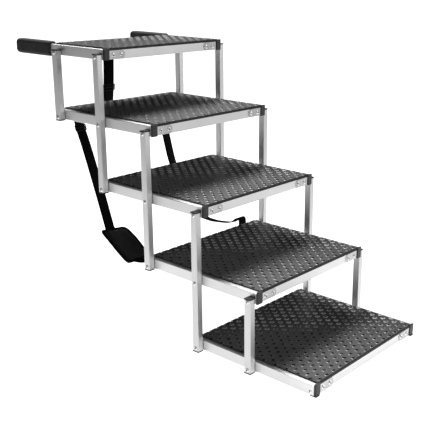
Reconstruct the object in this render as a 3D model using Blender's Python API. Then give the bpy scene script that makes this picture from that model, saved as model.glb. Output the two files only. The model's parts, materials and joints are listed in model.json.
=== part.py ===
"""Folding dog steps: five hollow aluminium treads on parallel pivoting legs, which fold flat together.

Units are metres. +X is to the right of someone walking up, +Y is uphill and +Z is up. The origin is on
the floor, at the middle of the object's footprint box. Tread 1 is the top one and tread 5 the bottom one.
"""

import math

import bmesh
import bpy
from mathutils import Vector

# Driving dimensions
TREADS = 5
WIDTH = 0.420  # over the outer faces of a tread's side rails
RISE = 0.1622  # from one tread to the next
RUN = 0.1616
PIVOT_PITCH = 0.157  # between the pivots along one tread
FIRST_PIVOT = 0.012  # from a tread's front face to its first pivot
PIVOT_HEIGHT = 0.0073  # above the underside of the rails
FLOOR_GAP = 0.0022  # between the floor and the bottom tread's rails
FIT = 0.0003  # gap between pieces that touch

# Treads
RAIL_HEIGHT = 0.025
RAIL_DEPTH = 0.015
RAIL_WALL = 0.0015
RAIL_ROUND = 0.0015
TREAD_LENGTH = 0.340
TOP_PANEL_LENGTH = 0.199
TOP_RAIL_LENGTH = 0.347  # the top tread's side rails run on into the grips
PANEL_WIDTH = 0.396
PANEL_THICKNESS = 0.003
PANEL_REAR_MARGIN = 0.003
LIP_THICKNESS = 0.0012
LIP_DROP = 0.0033  # below the panel's underside
LIP_WIDTH = 0.384

# Plastic corner connectors between a front rail and a side rail
CONNECTOR_WIDTH = 0.0175
CONNECTOR_DEPTH = 0.005
CONNECTOR_BELOW = 0.001
CONNECTOR_ROUND = 0.003
PLUG_LENGTH = 0.018
PLUG_SLACK = 0.0004
TAIL_ROOM = 0.004  # from a side rail's outer face to the plug in it, for the rivet's tail
FOOT_REACH = 0.0013  # in front of the tread
FOOT_BACK = 0.0155

# Legs
LEG_WIDTH = 0.017  # along X
LEG_DEPTH = 0.018  # along Y
LEG_WALL = 0.0013
LEG_ROUND = 0.002
LEG_GAP = 0.001  # from a leg to the side rail
LEG_ABOVE = 0.0077  # past the highest pivot
LEG_BELOW = 0.00925  # past the lowest pivot
END_PLUG = 0.003

# Pivot rivets
HOLE_RADIUS = 0.003
SHANK_RADIUS = 0.0024
HEAD_RADIUS = 0.0048
HEAD_HEIGHT = 0.0016
TAIL_RADIUS = 0.0036
TAIL_LENGTH = 0.0015
HEAD_SINK = 0.0002
ROUND_STEPS = 8

# Grips
GRIP_START = 0.204
GRIP_END = 0.351
GRIP_WIDTH = 0.027
GRIP_HEIGHT = 0.036
GRIP_ROUND = 0.007
# How far each ring of a grip is from its open end, and how far in from the full section
GRIP_RINGS = [(0, 0.0015), (0.0015, 0), (0.141, 0), (0.1448, 0.0015), (0.147, 0.005)]

# Webbing and pads
CLOSING_WIDTH = 0.038
SHOULDER_WIDTH = 0.030
WEBBING_THICKNESS = 0.0016
WEBBING_ROOM = 0.0007  # round the webbing, inside a pad or a slider
SHOULDER_X = 0.150
CLOSING_X = -0.022
PAD_SIZE = (0.070, 0.008, 0.007)  # its width, its thickness and how far inward its middle lies
SLIDER_MARGIN = 0.003  # a slider's width past the webbing, on each side
SLIDER_THICKNESS = 0.0055
SLIDER_LENGTH = 0.022

FRONT_Y = -0.5 * ((TREADS - 1) * RUN + GRIP_END - LIP_THICKNESS - FIT)
PANEL_Z = RAIL_HEIGHT + FIT
RAIL_X = WIDTH / 2 - RAIL_DEPTH / 2
LEG_X = WIDTH / 2 + LEG_GAP + LEG_WIDTH / 2
LEAN = math.atan2(RUN - PIVOT_PITCH, RISE)  # the legs lean uphill by this angle
SIDES = {"left": -1, "right": 1}

# Which tread and which of its three pivots (0 front, 1 middle, 2 rear) each leg joins, lowest first
LEGS = {
    "a": [(2, 2), (1, 1)],
    "b": [(3, 2), (2, 1), (1, 0)],
    "c": [(4, 2), (3, 1), (2, 0)],
    "d": [(5, 2), (4, 1), (3, 0)],
    "e": [(5, 1), (4, 0)],
}

# The pivot that each moving body turns on
BODY_PIVOTS = {
    "legs_d": (5, 2),
    "legs_e": (5, 1),
    "tread_4": (4, 1),
    "tread_3": (3, 0),
    "legs_c": (4, 2),
    "tread_2": (2, 0),
    "legs_b": (3, 2),
    "tread_1": (1, 0),
    "legs_a": (2, 2),
}

# Webbing routes, hand-laid: (y, z, roll in degrees), y from the bottom tread's front face and z from
# the underside of its rails. Roll turns the webbing about its own line, outer edge down.
CLOSING_ROUTE = [
    (0.8478, 0.668, 0),
    (0.8480, 0.630, 0),
    (0.8490, 0.590, 0),
    (0.8508, 0.552, 0),
    (0.8556, 0.500, 0),
    (0.8625, 0.432, 0),
]
LEFT_ROUTE = [
    (0.8265, 0.505, 0),
    (0.8260, 0.485, 0),
    (0.8200, 0.458, 2),
    (0.7930, 0.400, 4),
    (0.7470, 0.290, 8),
    (0.7180, 0.216, 6),
    (0.7098, 0.198, 4),
    (0.6862, 0.181, 2),
    (0.6616, 0.164, 0),
    (0.6376, 0.149, 0),
    (0.6143, 0.138, 0),
    (0.5856, 0.139, 0),
    (0.5550, 0.148, 0),
    (0.5250, 0.162, 0),
    (0.5040, 0.176, 0),
]
RIGHT_ROUTE = [
    (0.8265, 0.505, 0),
    (0.8260, 0.485, 0),
    (0.8190, 0.455, 2),
    (0.8000, 0.395, 5),
    (0.7730, 0.316, 8),
    (0.7300, 0.245, 12),
    (0.6850, 0.199, 16),
    (0.6500, 0.179, 18),
    (0.6130, 0.175, 18),
    (0.5790, 0.178, 18),
    (0.5450, 0.184, 10),
    (0.5290, 0.193, 2),
    (0.5170, 0.203, 0),
    (0.5070, 0.204, 0),
    (0.5042, 0.194, 0),
    (0.5040, 0.176, 0),
]
ROUTE_STEPS = 4  # rings of webbing in each span of a route
CLOSING_SLIDER_AT = 0.111  # along the webbing
SHOULDER_SLIDER_AT = 0.040
PAD_LENGTH = 0.118
PAD_START = {"left": 0.331, "right": 0.250}

MATERIALS = {
    # colour, metallic, roughness
    "aluminium": ((0.70, 0.71, 0.72), 1.0, 0.34),
    "panel": ((0.028, 0.028, 0.030), 0.0, 0.50),
    "connector": ((0.018, 0.018, 0.019), 0.0, 0.42),
    "grip": ((0.022, 0.022, 0.023), 0.0, 0.78),
    "webbing": ((0.020, 0.020, 0.022), 0.0, 0.85),
    "pad": ((0.026, 0.026, 0.028), 0.0, 0.90),
}


def clear_scene():
    for obj in list(bpy.data.objects):
        bpy.data.objects.remove(obj)


def principled(name):
    """The named material, made once."""
    found = bpy.data.materials.get(name)
    if found:
        return found
    colour, metallic, roughness = MATERIALS[name]
    material = bpy.data.materials.new(name)
    material.use_nodes = True
    shader = material.node_tree.nodes["Principled BSDF"]
    shader.inputs["Base Color"].default_value = (*colour, 1)
    shader.inputs["Metallic"].default_value = metallic
    shader.inputs["Roughness"].default_value = roughness
    return material


def link(name, bm, material=None, place=(0, 0, 0), parent=None):
    """An object made from bm, at a place in the world, riding on parent."""
    mesh = bpy.data.meshes.new(name)
    bm.to_mesh(mesh)
    bm.free()
    obj = bpy.data.objects.new(name, mesh)
    bpy.context.scene.collection.objects.link(obj)
    obj.location = Vector(place)
    if parent:
        obj.parent = parent
        obj.location = Vector(place) - parent.location
    if material:
        mesh.materials.append(principled(material))
    mesh.shade_smooth()
    mesh.set_sharp_from_angle(angle=math.radians(30))
    return obj


def helper(name, bm, place=(0, 0, 0), parent=None):
    """A cutter, or a shape to be joined to another, which isn't a piece of its own."""
    obj = link(name, bm, place=place, parent=parent)
    obj.hide_render = True
    obj.display_type = "WIRE"
    return obj


def boolean(obj, other, operation, use_self=False):
    modifier = obj.modifiers.new(operation.lower(), "BOOLEAN")
    modifier.operation = operation
    modifier.solver = "EXACT"
    modifier.object = other
    modifier.use_self = use_self


def rounded_outline(width, height, radius, steps=1):
    """Points round a rounded rectangle about the origin, anticlockwise."""
    points = []
    for corner, (sx, sy) in enumerate(((1, 1), (-1, 1), (-1, -1), (1, -1))):
        for step in range(steps + 1):
            angle = (corner + step / steps) * math.pi / 2
            x = sx * (width / 2 - radius) + radius * math.cos(angle)
            y = sy * (height / 2 - radius) + radius * math.sin(angle)
            points.append((x, y))
    return points


def bridge(bm, first, second):
    """Quads from one ring of vertices to the next."""
    count = len(first)
    for i in range(count):
        j = (i + 1) % count
        bm.faces.new((first[i], first[j], second[j], second[i]))


def add_prism(bm, rings):
    """A closed shape through rings of points, with flat ends."""
    loops = [[bm.verts.new(point) for point in ring] for ring in rings]
    for lower, upper in zip(loops, loops[1:]):
        bridge(bm, lower, upper)
    bm.faces.new(loops[0][::-1])
    bm.faces.new(loops[-1])


def add_sleeve(bm, outer, inner):
    """A tube, open at both ends, from rings of outer and inner points, equally many in each."""
    outside = [[bm.verts.new(point) for point in ring] for ring in outer]
    inside = [[bm.verts.new(point) for point in ring] for ring in inner]
    for lower, upper in zip(outside, outside[1:]):
        bridge(bm, lower, upper)
    for lower, upper in zip(inside, inside[1:]):
        bridge(bm, upper, lower)
    bridge(bm, inside[0], outside[0])
    bridge(bm, outside[-1], inside[-1])


def add_box(bm, low, high):
    (x0, y0, z0), (x1, y1, z1) = low, high
    corners = ((x0, y0), (x1, y0), (x1, y1), (x0, y1))
    add_prism(bm, [[(x, y, z) for x, y in corners] for z in (z0, z1)])


def along_x(outline, x):
    return [(x, y, z) for y, z in outline]


def along_y(outline, y):
    """The outline's first axis runs to -X, so that the ring turns anticlockwise about +Y."""
    return [(-x, y, z) for x, z in outline]


def along_z(outline, z):
    return [(x, y, z) for x, y in outline]


def add_turned(bm, profile, place, side):
    """A round shape about X through place. profile is (outward distance, radius), innermost first."""
    rings = []
    for reach, radius in profile:
        ring = []
        for step in range(ROUND_STEPS):
            angle = side * 2 * math.pi * step / ROUND_STEPS
            ring.append(
                (
                    place[0] + side * reach,
                    place[1] + radius * math.cos(angle),
                    place[2] + radius * math.sin(angle),
                )
            )
        rings.append(ring)
    add_prism(bm, rings)


def tread_corner(tread):
    """A tread's front face, at the underside of its rails, in the middle."""
    above = TREADS - tread
    return Vector((0, FRONT_Y + above * RUN, FLOOR_GAP + above * RISE))


def pivot_place(tread, number):
    return tread_corner(tread) + Vector((0, FIRST_PIVOT + number * PIVOT_PITCH, PIVOT_HEIGHT))


def body_empties():
    """An empty for each body, on the axis that it turns about."""
    empties = {}
    places = {body: pivot_place(*pivot) for body, pivot in BODY_PIVOTS.items()}
    places["tread_5"] = tread_corner(5)
    for body, place in places.items():
        empties[body] = bpy.data.objects.new("axis_" + body, None)
        bpy.context.scene.collection.objects.link(empties[body])
        empties[body].location = place
    return empties


def pivots_of(tread):
    """The numbers of the pivots that a tread's side rails are drilled for."""
    return [number for joined in LEGS.values() for at, number in joined if at == tread]


def side_rail(tread, side, empty):
    length = TOP_RAIL_LENGTH if tread == 1 else TREAD_LENGTH
    outer = rounded_outline(RAIL_DEPTH, RAIL_HEIGHT, RAIL_ROUND)
    inner = rounded_outline(RAIL_DEPTH - 2 * RAIL_WALL, RAIL_HEIGHT - 2 * RAIL_WALL, RAIL_ROUND / 2)
    ends = (CONNECTOR_DEPTH + FIT, length)
    bm = bmesh.new()
    add_sleeve(bm, [along_y(outer, y) for y in ends], [along_y(inner, y) for y in ends])
    place = tread_corner(tread) + Vector((SIDES[side] * RAIL_X, 0, RAIL_HEIGHT / 2))
    rail = link(f"side_rail_{side}_{tread}", bm, "aluminium", place, empty)

    drill = bmesh.new()
    reach = (RAIL_DEPTH / 2 - 2 * RAIL_WALL, RAIL_DEPTH / 2 + RAIL_WALL)
    for number in pivots_of(tread):
        centre = pivot_place(tread, number)
        centre.x = SIDES[side] * RAIL_X
        add_turned(drill, [(x, HOLE_RADIUS) for x in reach], centre, SIDES[side])
    boolean(rail, helper(f"drill_{side}_{tread}", drill), "DIFFERENCE")


def cross_rail(name, tread, front, half_length, empty):
    """A rail across a tread, with its front face at front."""
    outer = rounded_outline(RAIL_DEPTH, RAIL_HEIGHT, RAIL_ROUND)
    inner = rounded_outline(RAIL_DEPTH - 2 * RAIL_WALL, RAIL_HEIGHT - 2 * RAIL_WALL, RAIL_ROUND / 2)
    ends = (-half_length, half_length)
    bm = bmesh.new()
    add_sleeve(bm, [along_x(outer, x) for x in ends], [along_x(inner, x) for x in ends])
    place = tread_corner(tread) + Vector((0, front + RAIL_DEPTH / 2, RAIL_HEIGHT / 2))
    link(f"{name}_{tread}", bm, "aluminium", place, empty)


def panel(tread, empty):
    """The tread's plate, with a lip that folds down over the front rail."""
    rear = (TOP_PANEL_LENGTH if tread == 1 else TREAD_LENGTH) - PANEL_REAR_MARGIN
    front = -FIT - LIP_THICKNESS
    top = PANEL_Z + PANEL_THICKNESS
    bm = bmesh.new()
    half = PANEL_WIDTH / 2
    add_box(bm, (-half, front, PANEL_Z), (half, rear, top))
    lip = bmesh.new()
    add_box(lip, (-LIP_WIDTH / 2, front, PANEL_Z - LIP_DROP), (LIP_WIDTH / 2, -FIT, top - FIT))
    plate = link(f"panel_{tread}", bm, "panel", tread_corner(tread), empty)
    boolean(plate, helper(f"lip_{tread}", lip, tread_corner(tread)), "UNION")


def connector_outline():
    """Seen from above: the cap over the corner, with its outer edge rounded. x runs outwards."""
    half = WIDTH / 2
    points = [(half - CONNECTOR_WIDTH, CONNECTOR_DEPTH), (half - CONNECTOR_WIDTH, 0)]
    for step in range(4):
        angle = -math.pi / 2 + step / 3 * math.pi / 2
        x = half - CONNECTOR_ROUND + CONNECTOR_ROUND * math.cos(angle)
        points.append((x, CONNECTOR_ROUND + CONNECTOR_ROUND * math.sin(angle)))
    return points + [(half, CONNECTOR_DEPTH)]


def front_connector(tread, side, empty):
    """A moulded corner with a plug into each rail. The bottom tread's ones have a foot below."""
    way = SIDES[side]
    outline = [(way * x, y) for x, y in connector_outline()][::way]
    bm = bmesh.new()
    add_prism(bm, [along_z(outline, z) for z in (-CONNECTOR_BELOW, RAIL_HEIGHT)])

    plugs = bmesh.new()
    inset = RAIL_WALL + PLUG_SLACK
    low, high = inset, RAIL_HEIGHT - inset
    inner_face = WIDTH / 2 - RAIL_DEPTH
    spans = [
        (inner_face + inset, WIDTH / 2 - TAIL_ROOM, CONNECTOR_DEPTH / 2, CONNECTOR_DEPTH + PLUG_LENGTH),
        (inner_face - FIT - PLUG_LENGTH, inner_face - FIT, inset, RAIL_DEPTH - inset),
    ]
    for x0, x1, y0, y1 in spans:
        x0, x1 = sorted((way * x0, way * x1))
        add_box(plugs, (x0, y0, low), (x1, y1, high))
    cap = link(f"front_connector_{side}_{tread}", bm, "connector", tread_corner(tread), empty)
    boolean(cap, helper(f"plugs_{side}_{tread}", plugs, tread_corner(tread)), "UNION")

    if tread == TREADS:
        foot = bmesh.new()
        x0, x1 = sorted((way * (inner_face + FIT), way * (WIDTH / 2 - FIT)))
        add_box(foot, (x0, -FOOT_REACH, -FLOOR_GAP), (x1, FOOT_BACK, -FIT))
        boolean(cap, helper(f"foot_{side}", foot, tread_corner(tread)), "UNION")


def leg(name, side, joined, empty):
    """A square tube with a plug in each end, and a rivet through each of its pivots."""
    way = SIDES[side]
    count = len(joined)
    spacing = math.hypot(RISE, RUN - PIVOT_PITCH)
    bottom = -LEG_BELOW
    top = (count - 1) * spacing + LEG_ABOVE
    outer = rounded_outline(LEG_WIDTH, LEG_DEPTH, LEG_ROUND)
    bm = bmesh.new()
    add_prism(bm, [along_z(outer, z) for z in (bottom, top)])
    lowest = pivot_place(*joined[0]) + Vector((way * LEG_X, 0, 0))
    tube = link(f"leg_{name}_{side}", bm, "aluminium", lowest, empty)

    hollow = bmesh.new()
    half_x, half_y = LEG_WIDTH / 2 - LEG_WALL, LEG_DEPTH / 2 - LEG_WALL
    add_box(hollow, (-half_x, -half_y, bottom + END_PLUG), (half_x, half_y, top - END_PLUG))
    rivets = bmesh.new()
    face = LEG_WIDTH / 2
    rail_inside = -(face + LEG_GAP + RAIL_WALL + FIT)
    dome = [
        (face - HEAD_SINK + HEAD_HEIGHT * math.sin(a), HEAD_RADIUS * math.cos(a))
        for a in (0, math.radians(45), math.radians(75))
    ]
    profile = [
        (rail_inside - TAIL_LENGTH, TAIL_RADIUS),
        (rail_inside, TAIL_RADIUS),
        (rail_inside, SHANK_RADIUS),
        (face - HEAD_SINK, SHANK_RADIUS),
        *dome,
    ]
    for number in range(count):
        centre = (0, 0, number * spacing)
        clearance = [(-face - LEG_GAP, HOLE_RADIUS), (0, HOLE_RADIUS)]
        add_turned(hollow, clearance, centre, way)
        add_turned(rivets, profile, centre, way)
    cutter = helper(f"hollow_{name}_{side}", hollow, lowest, empty)
    pins = helper(f"rivets_{name}_{side}", rivets, lowest, empty)
    for obj in (tube, cutter, pins):
        obj.rotation_euler.x = -LEAN
    boolean(tube, cutter, "DIFFERENCE", use_self=True)
    boolean(tube, pins, "UNION")


def grip(side, empty):
    """A foam sleeve on the end of a side rail, closed and rounded at its far end."""
    hole_width = RAIL_DEPTH + 2 * FIT
    hole_height = RAIL_HEIGHT + 2 * FIT
    hole = rounded_outline(hole_width, hole_height, RAIL_ROUND, 3)
    blind = TOP_RAIL_LENGTH + FIT
    rings = []
    for reach, inset in GRIP_RINGS:
        outline = rounded_outline(
            GRIP_WIDTH - 2 * inset, GRIP_HEIGHT - 2 * inset, GRIP_ROUND - inset, 3
        )
        rings.append(along_y(outline, GRIP_START + reach))
    bm = bmesh.new()
    outside = [[bm.verts.new(point) for point in ring] for ring in rings]
    inside = [[bm.verts.new(point) for point in along_y(hole, y)] for y in (GRIP_START, blind)]
    for lower, upper in zip(outside, outside[1:]):
        bridge(bm, lower, upper)
    bridge(bm, inside[1], inside[0])
    bridge(bm, inside[0], outside[0])
    bm.faces.new(outside[-1])
    bm.faces.new(inside[1][::-1])
    place = tread_corner(1) + Vector((SIDES[side] * RAIL_X, 0, RAIL_HEIGHT / 2))
    link(f"grip_{side}", bm, "grip", place, empty)


def smooth_route(route):
    """Points and rolls along a smooth curve through a route's own points."""
    ends = [route[0], *route, route[-1]]
    stations = []
    for before, start, end, after in zip(ends, ends[1:], ends[2:], ends[3:]):
        for step in range(ROUTE_STEPS):
            t = step / ROUTE_STEPS
            stations.append(
                [
                    0.5 * (2 * b + (c - a) * t + (2 * a - 5 * b + 4 * c - d) * t**2
                           + (3 * b - a - 3 * c + d) * t**3)
                    for a, b, c, d in zip(before, start, end, after)
                ]
            )
    return stations + [list(route[-1])]


def distances(stations):
    """How far along the route each station is."""
    travelled = [0.0]
    for a, b in zip(stations, stations[1:]):
        travelled.append(travelled[-1] + math.dist(a[:2], b[:2]))
    return travelled


def with_station(stations, distance):
    """The stations and one more, that far along."""
    travelled = distances(stations)
    i = max(k for k, far in enumerate(travelled[:-1]) if far <= distance)
    t = (distance - travelled[i]) / (travelled[i + 1] - travelled[i])
    extra = [p + (q - p) * t for p, q in zip(stations[i], stations[i + 1])]
    return [*stations[: i + 1], extra, *stations[i + 1 :]]


def band_rings(stations, x, width, thickness, inward, way):
    """Rectangles at each station, across the webbing and that far in from its middle.

    way is -1 where -X is the outer edge."""
    rings = []
    for i, (y, z, roll) in enumerate(stations):
        before, after = stations[max(i - 1, 0)], stations[min(i + 1, len(stations) - 1)]
        forward = Vector((0, after[0] - before[0], after[1] - before[1])).normalized()
        angle = math.radians(roll) * way
        across = Vector((1, 0, 0)) * math.cos(angle) - Vector((0, 0, 1)) * math.sin(angle)
        across = (across - forward * across.dot(forward)).normalized()
        normal = forward.cross(across)
        centre = Vector((x, FRONT_Y + y, FLOOR_GAP + z)) - across * (way * inward)
        corners = ((-1, -1), (1, -1), (1, 1), (-1, 1))
        rings.append(
            [centre + across * (a * width / 2) + normal * (b * thickness / 2) for a, b in corners]
        )
    return [ring[::-1] for ring in rings] if flipped(rings) else rings


def flipped(rings):
    """Whether a ring turns clockwise about the direction to the next one."""
    a, b, c = rings[0][:3]
    forward = rings[1][0] - rings[0][0]
    return (b - a).cross(c - b).dot(forward) < 0


def webbing(name, route, x, width, way, sleeves, empty):
    """A length of webbing, and the pieces that it runs through.

    sleeves holds (name, start, length, (width, thickness, inward), material), with start along the
    webbing."""
    stations = smooth_route(route)
    for _, start, length, _, _ in sleeves:
        for distance in (start, start + length):
            stations = with_station(stations, distance)
    travelled = distances(stations)
    bm = bmesh.new()
    add_prism(bm, band_rings(stations, x, width, WEBBING_THICKNESS, 0, way))
    link(name, bm, "webbing", parent=empty)
    room = 2 * WEBBING_ROOM
    hole = band_rings(stations, x, width + room, WEBBING_THICKNESS + room, 0, way)
    for sleeve, start, length, size, material in sleeves:
        outer = band_rings(stations, x, *size, way)
        inside = [i for i, far in enumerate(travelled) if start - FIT < far < start + length + FIT]
        span = slice(inside[0], inside[-1] + 1)
        bm = bmesh.new()
        add_sleeve(bm, outer[span], hole[span])
        link(sleeve, bm, material, parent=empty)


def soft_goods(empties):
    shoulder = {"left": LEFT_ROUTE, "right": RIGHT_ROUTE}
    slider_size = (SHOULDER_WIDTH + 2 * SLIDER_MARGIN, SLIDER_THICKNESS, 0)
    for side, route in shoulder.items():
        way = SIDES[side]
        slider = (f"strap_slider_{side}", SHOULDER_SLIDER_AT, SLIDER_LENGTH, slider_size, "connector")
        padding = (f"shoulder_pad_{side}", PAD_START[side], PAD_LENGTH, PAD_SIZE, "pad")
        x, empty = way * SHOULDER_X, empties["tread_4"]
        webbing(
            f"shoulder_strap_{side}", route, x, SHOULDER_WIDTH, way, (slider, padding), empty
        )
    slider_size = (CLOSING_WIDTH + 2 * SLIDER_MARGIN, SLIDER_THICKNESS, 0)
    slider = ("closing_slider", CLOSING_SLIDER_AT, SLIDER_LENGTH, slider_size, "connector")
    webbing(
        "closing_strap", CLOSING_ROUTE, CLOSING_X, CLOSING_WIDTH, -1, (slider,), empties["tread_1"]
    )


def main():
    clear_scene()
    empties = body_empties()
    cross_length = WIDTH / 2 - RAIL_DEPTH - FIT
    front_length = WIDTH / 2 - CONNECTOR_WIDTH - FIT
    for tread in range(1, TREADS + 1):
        empty = empties[f"tread_{tread}"]
        panel(tread, empty)
        cross_rail("front_rail", tread, 0, front_length, empty)
        rear = TOP_PANEL_LENGTH if tread == 1 else TREAD_LENGTH
        cross_rail("rear_rail", tread, rear - RAIL_DEPTH, cross_length, empty)
        for side in SIDES:
            side_rail(tread, side, empty)
            front_connector(tread, side, empty)
    for name, joined in LEGS.items():
        for side in SIDES:
            leg(name, side, joined, empties[f"legs_{name}"])
    for side in SIDES:
        grip(side, empties["tread_1"])
    soft_goods(empties)


main()
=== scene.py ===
"""The looks of the folding dog steps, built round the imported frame."""

import json
import math

import bmesh
import bpy
from mathutils import Matrix, Vector


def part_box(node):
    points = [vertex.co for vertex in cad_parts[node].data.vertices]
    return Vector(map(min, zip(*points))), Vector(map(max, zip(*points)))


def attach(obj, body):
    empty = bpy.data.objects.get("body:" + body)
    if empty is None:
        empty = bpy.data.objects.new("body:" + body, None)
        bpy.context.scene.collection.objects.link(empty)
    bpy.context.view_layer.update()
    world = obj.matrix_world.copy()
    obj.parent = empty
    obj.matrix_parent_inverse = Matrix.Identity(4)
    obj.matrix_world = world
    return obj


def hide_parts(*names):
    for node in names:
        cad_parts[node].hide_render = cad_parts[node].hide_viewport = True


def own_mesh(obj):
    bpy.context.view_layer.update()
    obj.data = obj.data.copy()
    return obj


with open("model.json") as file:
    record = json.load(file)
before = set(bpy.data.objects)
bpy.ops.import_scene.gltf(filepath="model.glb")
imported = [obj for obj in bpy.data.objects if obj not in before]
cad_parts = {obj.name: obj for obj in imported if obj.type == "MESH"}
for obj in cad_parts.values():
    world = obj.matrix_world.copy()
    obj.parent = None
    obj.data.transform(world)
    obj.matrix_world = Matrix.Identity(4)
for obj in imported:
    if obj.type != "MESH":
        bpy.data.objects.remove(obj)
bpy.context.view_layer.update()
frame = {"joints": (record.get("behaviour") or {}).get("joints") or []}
JOINTS = {joint["name"]: Vector(joint["pos_m"]) for joint in frame["joints"]}

TREADS = 5
SIDES = {"left": -1, "right": 1}
MM = 0.001

# The camera, as the object is seen
CAMERA_PLACE = (-1.4633, -1.3277, 0.8572)
CAMERA_TURN = (72.930, -0.567, -48.168)
CAMERA_LENS = 66.5

# The studio: where its bright side lies, and how bright it is there, at the back and overhead
WORLD_FRONT = (0.55, -0.83, 0.0)
WORLD_FRONT_LIGHT = 0.72
WORLD_BACK = 0.26
WORLD_OVERHEAD = 1.15
WORLD_SEEN = 40.0  # what the camera sees past the floor, as white as the floor
FLOOR_GLOW = 1.3  # what the camera sees of the floor
FLOOR_NEAR = 1.02  # what the floor gives back close to the steps, and far from them
FLOOR_FAR = 0.36
FLOOR_SIZE = 60
# Each light's place, size and power. They point at LIGHT_TARGET
LIGHT_TARGET = Vector((0, 0, 0.3))
LIGHTS = {
    "overhead": ((0.7, 1.0, 2.8), (1.5, 1.0), 115),
    "key": ((1.9, -2.2, 1.7), (1.2, 1.2), 30),
}

# Frame facts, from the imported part
FRONT_RAIL, REAR_RAIL, SIDE_RAIL, PANEL = (
    {n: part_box(f"{part}_{n}") for n in range(1, TREADS + 1)}
    for part in ("front_rail", "rear_rail", "side_rail_right", "panel")
)
WIDTH = 2 * SIDE_RAIL[5][1].x
RAIL_HEIGHT = SIDE_RAIL[5][1].z - SIDE_RAIL[5][0].z
RAIL_DEPTH = SIDE_RAIL[5][1].x - SIDE_RAIL[5][0].x
PIVOT_PITCH = JOINTS["fold"].y - JOINTS["fold_legs_e"].y
RUN = FRONT_RAIL[4][0].y - FRONT_RAIL[5][0].y
RISE = FRONT_RAIL[4][0].z - FRONT_RAIL[5][0].z
FRONT_Y = FRONT_RAIL[5][0].y
FLOOR_GAP = FRONT_RAIL[5][0].z
FIRST_PIVOT = JOINTS["fold_legs_e"].y - PIVOT_PITCH - FRONT_Y
PIVOT_HEIGHT = JOINTS["fold"].z - FLOOR_GAP
LEAN = math.atan2(RUN - PIVOT_PITCH, RISE)

RAIL_ROUND = 1.3 * MM
RAIL_WALL = 1.5 * MM
TUBE_END = 0.3 * MM  # how far the rim of a tube's end is softened
CONNECTOR_DEPTH = 5 * MM
CONNECTOR_WIDTH = 17.5 * MM
CONNECTOR_ROUND = 3 * MM
CONNECTOR_PROUD = 3.2 * MM  # how far a front connector stands in front of the front rail
CONNECTOR_ABOVE = 2.4 * MM  # and above it
CONNECTOR_BELOW = 1 * MM  # and any connector below the rails
FOOT_DEPTH = 16.8 * MM
FOOT_PLACE = 7.1 * MM  # a foot's middle behind the connector's front
FOOT_SCREW = 3.8 * MM
# A corner plate's ends from the tread's side and its edges from the rail's underside
PLATE_SPAN = (18.7 * MM, 69 * MM)
PLATE_EDGES = (0.5 * MM, 21.6 * MM)
PLATE_THICKNESS = 0.9 * MM
PLATE_RIVETS = (31 * MM, 57 * MM)
PLATE_RIVET_HEIGHT = 10.4 * MM
PLATE_RIVET_RADIUS = 5.4 * MM
LEG_WIDTH = 17 * MM
LEG_DEPTH = 18 * MM
LEG_ROUND = 2.2 * MM
LEG_WALL = 1.3 * MM
LEG_X = WIDTH / 2 + 1 * MM + LEG_WIDTH / 2
LEG_ABOVE = 7.7 * MM
LEG_BELOW = 9.25 * MM
PLUG_LIP = 2.8 * MM
# A leg plug's stations: (depth, how far in from the leg's own outline, in mm)
PLUG_RINGS = [(PLUG_LIP + 3 * MM, 1.6), (PLUG_LIP, 1.6), (PLUG_LIP - 0.1 * MM, -0.3),
              (0.5 * MM, -0.3), (0.15 * MM, 0), (0, 0.5)]
RIVET_RADIUS = 4.8 * MM
# A rivet's head and its mandrel's stub: (reach, radius) in mm, for a head of RIVET_RADIUS
RIVET_HEAD = [(-0.6, 4.7), (0, 4.8), (0.3, 4.75), (0.8, 4.4), (1.2, 3.8), (1.5, 3.0), (1.6, 2.4),
              (1.5, 2.1), (0.9, 2.0)]
RIVET_STUB = [(0.4, 1.8), (1.15, 1.8), (1.25, 1.6)]

PANEL_THICKNESS = 3 * MM
LIP_DEPTH = 2.4 * MM
LIP_ROUND = 2 * MM

# Foam grips
GRIP_ROUND = 9 * MM
GRIP_CROWN = 1.6 * MM  # how far the foam's rounded top stands proud
# Each ring's distance along a grip, and how far in it is from the full section, both in mm
GRIP_RINGS = [(0, 6.0), (0.3, 3.6), (1.2, 1.6), (3, 0.5), (6, 0.1), (20, 0), (73, 0), (126, 0),
              (135, 0.3), (139, 1.1), (142.5, 2.8), (145.2, 5.4), (146.6, 8.2), (147, 11)]

# The embossed pattern of the treads
BUMP_PITCH_X = 26.2 * MM
BUMP_PITCH_Y = 15.75 * MM
BUMP_FIRST_ROW = 5.5 * MM
BUMP_STEPS = 14
BUMP_STRETCH = 1.15  # how much longer a bump is across the tread
# Which way across a tread its painted light grows (painted highlights on the bumps, painted shade on the
# flat), and where from its middle that starts and ends
PAINTED_LIGHT_WAY = (0.667, 0.745)
PAINTED_LIGHT_START = -0.035
PAINTED_LIGHT_END = 0.055
# The rings of one bump, in mm: radius, height, and how strongly it takes a rim's painted highlight
# (above 0) or a hollow's painted shade, which turns to painted highlight towards the rear right (below
# 0)
BUMP_RINGS = [(6.2, 0, 0), (5.6, 0.25, 0.6), (4.9, 0.62, 1.0), (4.4, 0.85, 1.0), (4.0, 0.8, 0.6),
              (3.8, 0.2, -0.9), (3.4, -0.9, -1.0), (1.6, -1.3, -1.0)]

# The pivots of each leg, from its lowest one: (tread, number from the tread's front)
LEGS = {
    "a": [(2, 2), (1, 1)],
    "b": [(3, 2), (2, 1), (1, 0)],
    "c": [(4, 2), (3, 1), (2, 0)],
    "d": [(5, 2), (4, 1), (3, 0)],
    "e": [(5, 1), (4, 0)],
}

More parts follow.
